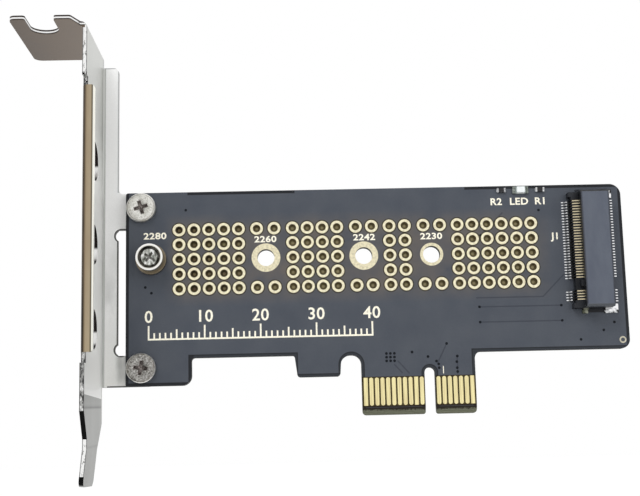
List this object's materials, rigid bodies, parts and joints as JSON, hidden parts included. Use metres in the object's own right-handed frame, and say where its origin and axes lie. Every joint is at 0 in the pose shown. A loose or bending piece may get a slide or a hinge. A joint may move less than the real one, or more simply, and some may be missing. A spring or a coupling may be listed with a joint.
{
  "type": "nvme adapter card",
  "caption": "Flat expansion card that carries a plug-in drive module: black board with edge contacts, module socket and spacer, screwed to a folded low-profile bracket.",
  "frame": {"origin": "centre of the key notch, at the contacts' lower edge and the board's component face", "axes": "+X along the board away from the bracket, +Z away from the edge contacts, component side faces -Y"},
  "size_m": [0.1076, 0.0235, 0.0791],
  "materials": {
    "board": "satin black mask over glass-fibre laminate",
    "gold": "gold plating",
    "bracket_steel": "nickel-plated sheet steel",
    "screw_steel": "nickel-plated steel",
    "spacer_metal": "bright nickel plating",
    "socket_plastic": "black moulded plastic",
    "tin": "tinned metal",
    "lamp_base": "white laminate",
    "lamp_lens": "milky resin",
    "resistor_body": "glazed ceramic"
  },
  "bodies": {
    "root": {"circuit_board": "board", "edge_contacts_front": "gold", "edge_contacts_back": "gold", "module_hole_lands": "gold", "bracket": "bracket_steel", "bracket_screws": "screw_steel", "standoff": "spacer_metal", "module_screw": "spacer_metal", "standoff_nut": "screw_steel", "socket_housing": "socket_plastic", "socket_lower_contacts": "gold", "socket_upper_contacts": "gold", "socket_hold_downs": "tin", "led_base": "lamp_base", "led_lens": "lamp_lens", "led_terminals": "tin", "resistor_r1_body": "resistor_body", "resistor_r1_terminals": "tin", "resistor_r2_body": "resistor_body", "resistor_r2_terminals": "tin"}
  },
  "joints": []
}
